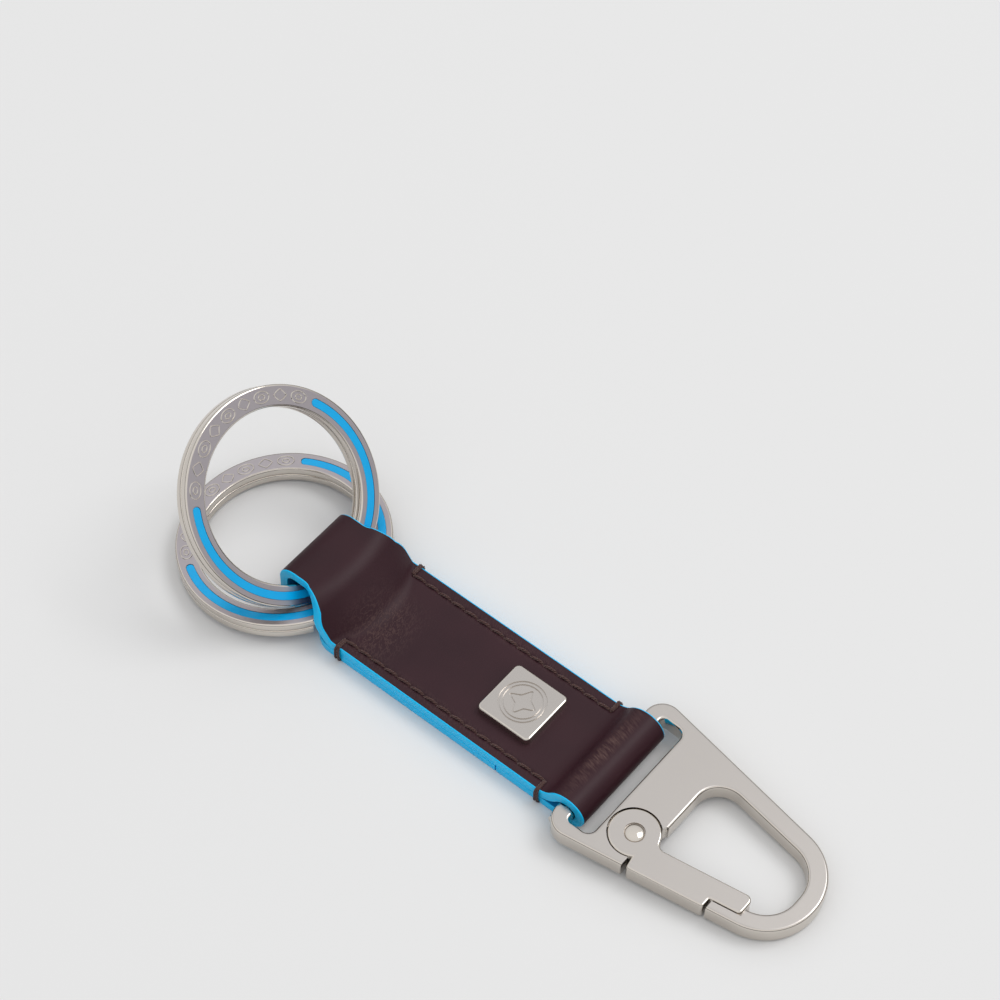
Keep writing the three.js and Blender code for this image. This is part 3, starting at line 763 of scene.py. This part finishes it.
def plate(name, outer, low, high, soft=0.0, holes=(), steps=3):
    curve = bpy.data.curves.new(name, "CURVE")
    curve.dimensions = "2D"
    curve.fill_mode = "BOTH"
    curve.extrude = ((high - low) / 2 - soft) * MM
    curve.bevel_depth = soft * MM
    curve.bevel_resolution = steps
    curve.offset = -soft * MM
    loops = [turned(outer, clockwise=False)] + [turned(hole, clockwise=True) for hole in holes]
    for loop in loops:
        spline = curve.splines.new("POLY")
        spline.points.add(len(loop) - 1)
        for point, (x, y) in zip(spline.points, loop):
            point.co = (x * MM, y * MM, 0, 1)
        spline.use_cyclic_u = True
    drawn = bpy.data.objects.new(name + "_curve", curve)
    scene.collection.objects.link(drawn)
    bpy.context.view_layer.update()
    graph = bpy.context.evaluated_depsgraph_get()
    mesh = bpy.data.meshes.new_from_object(drawn.evaluated_get(graph))
    bpy.data.objects.remove(drawn)
    mesh.transform(Matrix.Translation((0, 0, (low + high) / 2 * MM)))
    mesh.materials.clear()
    piece = bpy.data.objects.new(name, mesh)
    scene.collection.objects.link(piece)
    work = bmesh.new()
    work.from_mesh(mesh)
    bmesh.ops.remove_doubles(work, verts=work.verts, dist=0.0005 * MM)
    bmesh.ops.recalc_face_normals(work, faces=work.faces)
    work.to_mesh(mesh)
    work.free()
    return piece


def two_tone(piece, broad, walls, up=Vector((0, 0, 1)), level=0.985):
    """Gives the broad flat faces one finish and the walls and rounded edges another."""
    piece.data.materials.clear()
    piece.data.materials.append(broad)
    piece.data.materials.append(walls)
    for polygon in piece.data.polygons:
        polygon.material_index = 0 if abs(polygon.normal.dot(up)) > level else 1


# %% [markdown]
# ## The badge
# A square nickel plate sits on the leather, held by two prongs. Its rim is a bright bevel, its face is
# satin, and a line motif is engraved in it: here a plain four-pointed star in a ring. The engraving is
# cut from the plate as real grooves, so its lines have walls that catch the light.

# %% Badge with an engraved star
BADGE_SIDE = badge_high.x - badge_low.x
BADGE_CORNER = 0.9
BADGE_BEVEL = 0.3
STAR_REACH = 2.6
STAR_WAIST = 1.35
INNER_LINE = 3.1
OUTER_LINE = 3.7
LINE_HALF = 0.16
LINE_DEPTH = 0.2


def square(side, radius):
    half = side / 2
    middle = badge_middle
    return rounded_outline([
        (middle.x - half, -half, radius), (middle.x + half, -half, radius),
        (middle.x + half, half, radius), (middle.x - half, half, radius),
    ], math.radians(9))


def groove(outline_at, reach):
    """A ring-shaped tool that cuts a groove on both sides of an outline of this reach."""
    return plate("tool", outline_at(reach + LINE_HALF), badge_high.z - LINE_DEPTH, badge_high.z + 1,
                 holes=[outline_at(reach - LINE_HALF)])


def star(reach):
    corners = []
    for i in range(8):
        long = i % 2 == 0
        angle = math.pi * i / 4
        spot = (reach if long else reach - STAR_WAIST) * Vector((math.cos(angle), math.sin(angle)))
        corners.append((badge_middle.x + spot.x, spot.y, 0.25 if long else 0.5))
    return rounded_outline(corners, math.radians(12))


def circle(reach):
    return disc_outline(badge_middle.x, 0, reach, 96)


def make_badge():
    top = badge_high.z
    body = plate("badge", square(BADGE_SIDE, BADGE_CORNER), TOP - BADGE_BEVEL, top, BADGE_BEVEL)
    boolean(body, "DIFFERENCE", box_tool((badge_middle.x - 9, -9, 0), (badge_middle.x + 9, 9, TOP)))
    boolean(body, "DIFFERENCE", groove(star, STAR_REACH))
    boolean(body, "DIFFERENCE", groove(circle, INNER_LINE), groove(circle, OUTER_LINE))
    two_tone(body, satin_nickel, bright_nickel)
    shade(body)
    return settle(body, "strap")


badge = make_badge()

# %% [markdown]
# ## The badge's prongs
# Each prong is a flat tongue bent at a right angle, so it is a small plate outline seen from the side.

# %% Prongs, and what the badge replaces
def make_prong(side):
    thick = 0.45
    fold = 1.3
    wide = 1.1
    fold_top = TOP - LEATHER - WASHER_THICK - 2 * SNUG
    x = side * PRONG_REACH
    outer = x + side * thick / 2
    inner = x - side * thick / 2
    tip = x - side * fold
    outline = [(outer, TOP + 0.4), (inner, TOP + 0.4), (inner, fold_top), (tip, fold_top),
               (tip, fold_top - thick), (outer, fold_top - thick)]
    points = [(badge_middle.x + px, y, pz) for y in (-wide, wide) for px, pz in outline]
    count = len(outline)
    faces = [tuple(range(count)), tuple(range(count, 2 * count))[::-1]]
    faces += [(i, (i + 1) % count, count + (i + 1) % count, count + i) for i in range(count)]
    label = "rings" if side < 0 else "hook"
    prong = outward(mesh_piece(f"badge_prong_{label}", points, faces, [bright_nickel]))
    soften = prong.modifiers.new("soften", "BEVEL")
    soften.width = 0.08 * MM
    soften.segments = 2
    bake(prong)
    shade(prong)
    return settle(prong, "strap")


for side in (-1, 1):
    make_prong(side)
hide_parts("badge_plate")

# %% [markdown]
# ## Split rings
# A split ring is one flat wire wound twice, so that its two turns lie on each other. The wire's section
# is swept along two turns of a flat helix that climbs only at the crossover, which the strap hides.
# The enamel's groove is cut into the upper turn afterwards, because its round ends don't follow the sweep.

# %% A split wire
RING_OUTER = 17.5
RING_BAND = 3.5
RING_MIDDLE = RING_OUTER - RING_BAND / 2
COIL = 1.45
SPLIT = 0.12
RING_THICK = 2 * COIL + SPLIT
RING_SOFT = 0.3
CROSSOVER = math.radians(18)
WIRE_STEPS = 560
ENAMEL_HALF = 0.65
ENAMEL_ARC = math.radians(119.5)
GROOVE = 0.35
GROOVE_CLEAR = 0.05
ENAMEL_START = CROSSOVER + math.radians(3)


def wire_section():
    """A flat bar's section with rounded corners, as (across, up) from its own foot."""
    half = RING_BAND / 2
    return rounded_outline([
        (-half, 0, RING_SOFT), (half, 0, RING_SOFT), (half, COIL, RING_SOFT), (-half, COIL, RING_SOFT),
    ], math.radians(22.5))


def split_wire(name, start, climbs):
    """The wire of two turns: its lower end is at the start angle, and it climbs to one side."""
    outline = wire_section()
    last = 4 * math.pi - CROSSOVER
    points = []
    for angle in np.linspace(start, last, WIRE_STEPS):
        past = (angle - (2 * math.pi - CROSSOVER)) / (2 * CROSSOVER)
        climbed = float(smooth(past, 0, 1))
        for across, up in outline:
            reach = RING_MIDDLE + across
            height = up + climbed * (COIL + SPLIT) - RING_THICK
            points.append((reach * math.cos(angle), climbs * reach * math.sin(angle), height))
    faces = tube_faces(WIRE_STEPS, len(outline))
    return outward(mesh_piece(name, points, faces, [ring_satin]))


def arc_band(end, half_wide, start):
    """A stretch of a flat ring from a start angle to a round end at another."""
    tip = (RING_MIDDLE * math.cos(end), RING_MIDDLE * math.sin(end))
    outer = arc((0, 0), RING_MIDDLE + half_wide, start, end, 90)
    inner = arc((0, 0), RING_MIDDLE - half_wide, end, start, 90)
    return outer[:-1] + arc(tip, half_wide, end, end + math.pi, 13) + inner[1:]


def enamel_outline(side, grow=0.0):
    """The outline of one stretch of enamel, or of its groove, which is larger by a clearance."""
    turn = grow / RING_MIDDLE
    outline = arc_band(ENAMEL_ARC + turn, ENAMEL_HALF + grow, ENAMEL_START - turn)
    return [(x, side * y) for x, y in outline]


# %% [markdown]
# The face of each ring that carries no enamel has a raised pattern: ovals and lozenges by turns, each
# oval drawn twice, one inside the other. Each outline is a thin half-sunk bead of metal that follows the
# ring's curve.

# %% Raised pattern on the ring's face
MOTIF_START = math.radians(125)
MOTIF_END = math.radians(235)
MOTIFS = 9
MOTIF_HALF = 0.95
BEAD = 0.11


def raised_line(points, faces, line):
    """Adds a round bead of metal along a closed line on the ring's face."""
    line = [Vector(spot) for spot in line]
    start = len(points)
    sides = 6
    count = len(line)
    for i, spot in enumerate(line):
        ahead = (line[(i + 1) % count] - line[i - 1]).normalized()
        across = Vector((-ahead.y, ahead.x))
        for k in range(sides):
            angle = 2 * math.pi * k / sides
            moved = spot + across * BEAD * math.cos(angle)
            points.append((moved.x, moved.y, BEAD * 0.8 * math.sin(angle)))
    faces += tube_faces(count, sides, start, closed=True)


def ring_pattern(name):
    points = []
    faces = []
    step = (MOTIF_END - MOTIF_START) / MOTIFS
    for number in range(MOTIFS):
        middle = MOTIF_START + (number + 0.5) * step
        oval = number % 2 == 0
        power = 2.0 if oval else 1.15
        half_long = (0.4 if oval else 0.34) * step * RING_MIDDLE
        for part in (1.0, 0.42) if oval else (1.0,):
            line = []
            for turn in np.linspace(0, 2 * math.pi, 41)[:-1]:
                cosine, sine = math.cos(turn), math.sin(turn)
                reach = part / (abs(cosine) ** power + abs(sine) ** power) ** (1 / power)
                angle = middle + half_long * reach * cosine / RING_MIDDLE
                radius = RING_MIDDLE + MOTIF_HALF * reach * sine
                line.append((radius * math.cos(angle), radius * math.sin(angle)))
            raised_line(points, faces, line)
    return outward(mesh_piece(name, points, faces, [bright_nickel]))


# %% Place of a ring, and the rings themselves
def ring_place(node, tilt):
    """The matrix that puts a flat ring's face where the frame has it, tilted about Y."""
    corners = np.array([vertex.co for vertex in frame["nodes"][node].data.vertices])
    up = np.array((math.sin(tilt), 0, math.cos(tilt)))
    along = np.array((math.cos(tilt), 0, -math.sin(tilt)))
    middle = (corners @ along).max() / 2 + (corners @ along).min() / 2
    origin = Vector(middle * along + (corners @ up).max() * up)
    return Matrix.Translation(origin) @ Matrix.Rotation(tilt, 4, "Y")


def make_ring(node, tilt, start, climbs):
    place = ring_place(node, tilt)
    wire = split_wire(node + "_wire", start, climbs)
    for side, label in ((-1, "near"), (1, "far")):
        tool = plate("tool", enamel_outline(side, GROOVE_CLEAR), -GROOVE - GROOVE_CLEAR, 1.0)
        boolean(wire, "DIFFERENCE", tool)
        inlay = plate(f"{node}_inlay_{label}", enamel_outline(side), -GROOVE, -0.03, 0.05, steps=2)
        inlay.data.materials.append(enamel)
        shade(inlay)
        inlay.data.transform(place)
        settle(inlay, node, [f"{node}_enamel_{label}"])
    two_tone(wire, ring_satin, bright_nickel)
    shade(wire)
    wire.data.transform(place)
    settle(wire, node, [node])
    pattern = ring_pattern(node + "_pattern")
    shade(pattern, math.radians(70))
    pattern.data.transform(place)
    settle(pattern, node)


lower_axis = Vector(joints["lower_ring_spin"]["axis"])
make_ring("lower_ring", math.atan2(lower_axis.x, lower_axis.z), math.radians(33), -1)
UPPER_TILT = math.radians(46)
make_ring("upper_ring", UPPER_TILT, CROSSOVER, 1)

# %% [markdown]
# ## The hook's body
# The hook is a zinc casting: a plate with two windows, one for the strap and one to clip things on,
# open on one side for the gate. It is drawn in its own flat frame, with the bar's middle as the origin,
# and laid down by the same lean as the CAD body, which the gate's pivot axis gives.

# %% The hook's outlines
pivot_joint = joints["gate_pivot"]
hook_lean = math.atan2(pivot_joint["axis"][0], pivot_joint["axis"][2])
hook_place = Matrix.Translation(bar) @ Matrix.Rotation(hook_lean, 4, "Y")
pivot = hook_place.inverted() @ (Vector(pivot_joint["pos_m"]) / MM)
HOOK_HALF = 1.65
HOOK_TIP = 38.75
SLOT_HALF = 11.7
SLOT_END = 5.7
HOOK_SOFT = 0.45
EYE_LEFT = 13.95
EYE_RIGHT = 35.55
ARM = 3.05
GATE_START = 12.95
GATE_END = 25.65
GATE_TIP = 30.65
HEAD = 4.1
SEAT = HEAD + 0.16
RELIEF_HALF = 10.35
EAR = 0.85
SHANK = 1.05
RIVET_HEAD = 1.55
BORE = SHANK + 0.06
TAB_HALF = HOOK_HALF - EAR - 0.12
TAB_RADIUS = 3.0
POCKET_RADIUS = 2.75
THROUGH = 5
BAR_REACH = 14.9
BAR_ROUND = 3.2
NOSE_REACH = 8.6
NOSE_ROUND = 9.4
EDGE_SLOPE = 0.177


def near_edge(x):
    """How far across the hook its gate side is, at a place along it."""
    return -BAR_REACH + (x + BAR_RADIUS) * EDGE_SLOPE


def hook_outline():
    return rounded_outline([
        (-BAR_RADIUS, -BAR_REACH, BAR_ROUND), (HOOK_TIP, near_edge(HOOK_TIP), NOSE_ROUND),
        (HOOK_TIP, NOSE_REACH, NOSE_ROUND), (-BAR_RADIUS, BAR_REACH, BAR_ROUND),
    ], math.radians(3))


def slot_outline():
    return rounded_outline([
        (BAR_RADIUS, -SLOT_HALF, 0.8), (SLOT_END, -SLOT_HALF, 1.5),
        (SLOT_END, SLOT_HALF, 1.5), (BAR_RADIUS, SLOT_HALF, 0.8),
    ])


def eye_outline():
    return rounded_outline([
        (EYE_LEFT, near_edge(EYE_LEFT) + ARM, 0.5), (EYE_RIGHT, near_edge(EYE_RIGHT) + ARM, 5.6),
        (EYE_RIGHT, 5.9, 6), (EYE_LEFT, 9.1, 4.2),
    ], math.radians(3))


def mouth_outline():
    left = GATE_START - 0.7
    return rounded_outline([
        (left, -16, 0.2), (GATE_END + 0.5, -16, 0.2), (GATE_END + 0.5, -3, 0.2),
        (EYE_LEFT - 0.4, -3, 0.2), (left, pivot.y, 0.2),
    ])


def nose_step_outline():
    start = GATE_END + 0.3
    end = GATE_TIP + 0.3
    outer = 1.55
    beyond = ARM + 2
    return rounded_outline([
        (start, near_edge(start) + outer, 0.1), (end, near_edge(end) + outer, 0.3),
        (end, near_edge(end) + beyond, 0.1), (start, near_edge(start) + beyond, 0.1),
    ])


# %% The hook's body, cut and joined
def cylinder_tool(x, y, radius, low, high, count=96):
    return plate("tool", disc_outline(x, y, radius, count), low, high)


def bar_tool(half_long, radius, count=48):
    """A round bar along Y through the hook's origin."""
    tool = plate("tool", disc_outline(0, 0, radius, count), -half_long, half_long)
    tool.data.transform(Matrix.Rotation(math.pi / 2, 4, "X"))
    return tool


def make_hook_body():
    body = plate("hook_casting", hook_outline(), -HOOK_HALF, HOOK_HALF, HOOK_SOFT,
                 holes=[slot_outline(), eye_outline()], steps=4)
    full = -THROUGH, THROUGH
    boolean(body, "DIFFERENCE", plate("tool", mouth_outline(), *full))
    boolean(body, "DIFFERENCE", cylinder_tool(pivot.x, pivot.y, SEAT, *full))
    relief = box_tool((-BAR_RADIUS - 1, -RELIEF_HALF, -THROUGH), (BAR_RADIUS + 0.9, RELIEF_HALF, THROUGH))
    boolean(body, "DIFFERENCE", relief)
    for low, high in ((-THROUGH, -TAB_HALF), (TAB_HALF, THROUGH)):
        boolean(body, "DIFFERENCE", plate("tool", nose_step_outline(), low, high))
    boolean(body, "UNION", bar_tool(SLOT_HALF + 1, BAR_RADIUS))
    tab = plate("tool", disc_outline(pivot.x, pivot.y, TAB_RADIUS), -TAB_HALF, TAB_HALF)
    for left, near, right, far in ((-5, -1.5, 0, 1.5), (-2.4, 0, 1.8, 5)):
        low = (pivot.x + left, pivot.y + near, -TAB_HALF)
        high = (pivot.x + right, pivot.y + far, TAB_HALF)
        boolean(tab, "UNION", box_tool(low, high))
    boolean(tab, "DIFFERENCE", cylinder_tool(pivot.x, pivot.y, BORE, *full))
    floor = -TAB_HALF + 0.3
    boolean(tab, "DIFFERENCE", cylinder_tool(pivot.x, pivot.y, POCKET_RADIUS, floor, THROUGH))
    boolean(body, "UNION", tab)
    return body


def lay_down(piece):
    """Moves a mesh from the hook's own flat frame to its place."""
    for step in (Matrix.Scale(1 / MM, 4), hook_place, Matrix.Scale(MM, 4)):
        piece.data.transform(step)


def finish_casting(piece, body, nodes, bevel):
    outward(piece)
    soften = piece.modifiers.new("soften", "BEVEL")
    soften.width = bevel * MM
    soften.segments = 2
    soften.limit_method = "ANGLE"
    soften.angle_limit = math.radians(50)
    bake(piece)
    two_tone(piece, satin_nickel, bright_nickel)
    shade(piece)
    lay_down(piece)
    return settle(piece, body, nodes)


finish_casting(make_hook_body(), "hook", ["hook_body"], 0.12)

# %% [markdown]
# ## The gate, its rivet and its spring
# The gate is a channel: two plates joined by an outer wall, with a round head that turns on the rivet.
# Its tip narrows to lie on the hook's nose. The rivet's two domed heads sit in shallow counterbores.

# %% The gate
GATE_WIDE = 5.3
TIP_INSET = 1.75
HEAD_LEAVES = math.radians(-58)
HEAD_MEETS = math.radians(18)
CLEAR = 0.1


def gate_outline():
    """A round head that runs into the arm, with a hollow fillet on the eye's side."""
    ahead = Vector((-math.sin(HEAD_MEETS), math.cos(HEAD_MEETS)))
    meets = pivot.xy + HEAD * Vector((math.cos(HEAD_MEETS), math.sin(HEAD_MEETS)))
    leaves = pivot.xy + HEAD * Vector((math.cos(HEAD_LEAVES), math.sin(HEAD_LEAVES)))
    rise = meets.y - near_edge(meets.x) - GATE_WIDE
    fillet = meets - ahead * rise / (ahead.y - EDGE_SLOPE * ahead.x)
    arm = rounded_outline([
        (*leaves, 0.02), (GATE_START, near_edge(GATE_START), 0.5), (GATE_END, near_edge(GATE_END), 0.5),
        (GATE_END, near_edge(GATE_END) + TIP_INSET, 0.3), (GATE_TIP, near_edge(GATE_TIP) + TIP_INSET, 0.8),
        (GATE_TIP, near_edge(GATE_TIP) + GATE_WIDE, 1.0), (*fillet, 1.3), (*meets, 0.02),
    ], math.radians(6))
    arm = [at for at in arm if min((Vector(at) - end).length for end in (leaves, meets)) > CLEAR]
    head = arc(pivot, HEAD, HEAD_MEETS + 0.02, HEAD_LEAVES + 2 * math.pi - 0.02, 72)
    return [tuple(leaves), *arm, tuple(meets), *head]


def channel_outline():
    wall = 1.2
    left = pivot.x - 6
    return rounded_outline([
        (left, pivot.y - 6, 0.2), (GATE_START - 0.4, pivot.y - 6, 0.2),
        (GATE_START + 0.6, near_edge(GATE_START + 0.6) + wall, 0.6),
        (GATE_TIP + 2, near_edge(GATE_TIP + 2) + wall, 0.1), (GATE_TIP + 2, 2, 0.2), (left, 2, 0.2),
    ])


def make_gate():
    soft = 0.28
    gate = plate("gate_casting", gate_outline(), -HOOK_HALF, HOOK_HALF, soft, steps=3)
    boolean(gate, "DIFFERENCE", plate("tool", channel_outline(), EAR - HOOK_HALF, HOOK_HALF - EAR))
    boolean(gate, "DIFFERENCE", cylinder_tool(pivot.x, pivot.y, BORE, -THROUGH, THROUGH, 48))
    counterbore = RIVET_HEAD + 0.12
    boolean(gate, "DIFFERENCE", cylinder_tool(pivot.x, pivot.y, counterbore, HOOK_HALF - 0.3, THROUGH, 64))
    boolean(gate, "DIFFERENCE", cylinder_tool(pivot.x, pivot.y, counterbore, -THROUGH, 0.3 - HOOK_HALF, 64))
    return gate


finish_casting(make_gate(), "gate", ["hook_gate"], 0.08)

# %% The rivet
RIVET_SIDES = 48


def make_rivet():
    seat = HOOK_HALF - 0.25
    dome = 0.5
    rise = np.linspace(0, math.pi / 2, 9)
    upper = [(RIVET_HEAD * math.cos(t), seat + dome * math.sin(t)) for t in rise[:-1]]
    profile = upper[::-1] + [(SHANK, seat), (SHANK, -seat)] + [(r, -z) for r, z in upper]
    points = [(pivot.x + r * math.cos(2 * math.pi * k / RIVET_SIDES),
               pivot.y + r * math.sin(2 * math.pi * k / RIVET_SIDES), z)
              for r, z in profile for k in range(RIVET_SIDES)]
    faces = tube_faces(len(profile), RIVET_SIDES)
    rivet = outward(mesh_piece("rivet", points, faces, [bright_nickel]))
    shade(rivet, math.radians(50))
    lay_down(rivet)
    return settle(rivet, "hook", ["gate_rivet"])


make_rivet()

# %% [markdown]
# The spring is hidden between the gate's plates. Its CAD solid already has the true coil and legs, so it
# stays and only gets its finish, as does the backing washer inside the strap.

# %% Finishes for the pieces that stay
for node, finish in (("gate_spring", spring_steel), ("badge_washer", bright_nickel)):
    kept = frame["nodes"][node]
    kept.data.materials.clear()
    kept.data.materials.append(finish)
    shade(kept)
    print(node, "keeps its shape and takes", finish.name)

# %% [markdown]
# ## The table and the light
# The fob lies on a wide pale table in an even studio. Polished metal only looks like metal when it has
# something dark to reflect, so the studio's walls are dark low down and bright above, as round a shooting
# table under a soft ceiling. What the camera sees of them past the table stays as pale as the table.

# %% Table
TABLE_HALF = 6000
table_points = [(-TABLE_HALF, -TABLE_HALF, 0), (TABLE_HALF, -TABLE_HALF, 0),
                (TABLE_HALF, TABLE_HALF, 0), (-TABLE_HALF, TABLE_HALF, 0)]
table_finish = Finish("pale_table", Roughness=0.9, Specular_IOR_Level=0.0)
clouds = table_finish.noise(400)
table_finish.feed("Base Color", table_finish.mix(clouds, rgb(231, 231, 231), rgb(230, 230, 230)))
table = mesh_piece("table", table_points, [(0, 1, 2, 3)], [table_finish.material])

# %% Light
BACKDROP = 0.71
STUDIO_LIGHT = 0.955
STUDIO = [(0.0, 0.05), (0.2, 0.09), (0.34, 0.55), (0.46, 0.86), (0.8, 0.95), (1.0, 1.0)]

world = bpy.data.worlds.new("studio")
scene.world = world
world.use_nodes = True
tree = world.node_tree
background = tree.nodes["Background"]
background.inputs["Strength"].default_value = STUDIO_LIGHT
direction = tree.nodes.new("ShaderNodeTexCoord")
height = tree.nodes.new("ShaderNodeSeparateXYZ")
ramp = tree.nodes.new("ShaderNodeValToRGB")
Finish.set_stops(ramp.color_ramp, [(at, (level, level, level, 1.0)) for at, level in STUDIO])
seen = tree.nodes.new("ShaderNodeLightPath")
choose = tree.nodes.new("ShaderNodeMix")
choose.data_type = "RGBA"
choose.inputs[7].default_value = (BACKDROP, BACKDROP, BACKDROP, 1.0)
tree.links.new(direction.outputs["Generated"], height.inputs[0])
tree.links.new(height.outputs["Z"], ramp.inputs[0])
tree.links.new(ramp.outputs["Color"], choose.inputs[6])
tree.links.new(seen.outputs["Is Camera Ray"], choose.inputs[0])
tree.links.new(choose.outputs[2], background.inputs["Color"])
scene.view_settings.view_transform = "Standard"


def panel(name, place, target, size, power):
    """A large square softbox that looks at a target; places are in millimetres."""
    light = bpy.data.lights.new(name, "AREA")
    light.shape = "SQUARE"
    light.size = size * MM
    light.energy = power
    lamp = bpy.data.objects.new(name, light)
    lamp.location = Vector(place) * MM
    lamp.rotation_euler = (Vector(target) - Vector(place)).to_track_quat("-Z", "Y").to_euler()
    scene.collection.objects.link(lamp)


panel("key_panel", (900, 1500, 2600), (0, 0, 0), 1500, 25.0)
print("light: one panel and a studio that is dark low down")
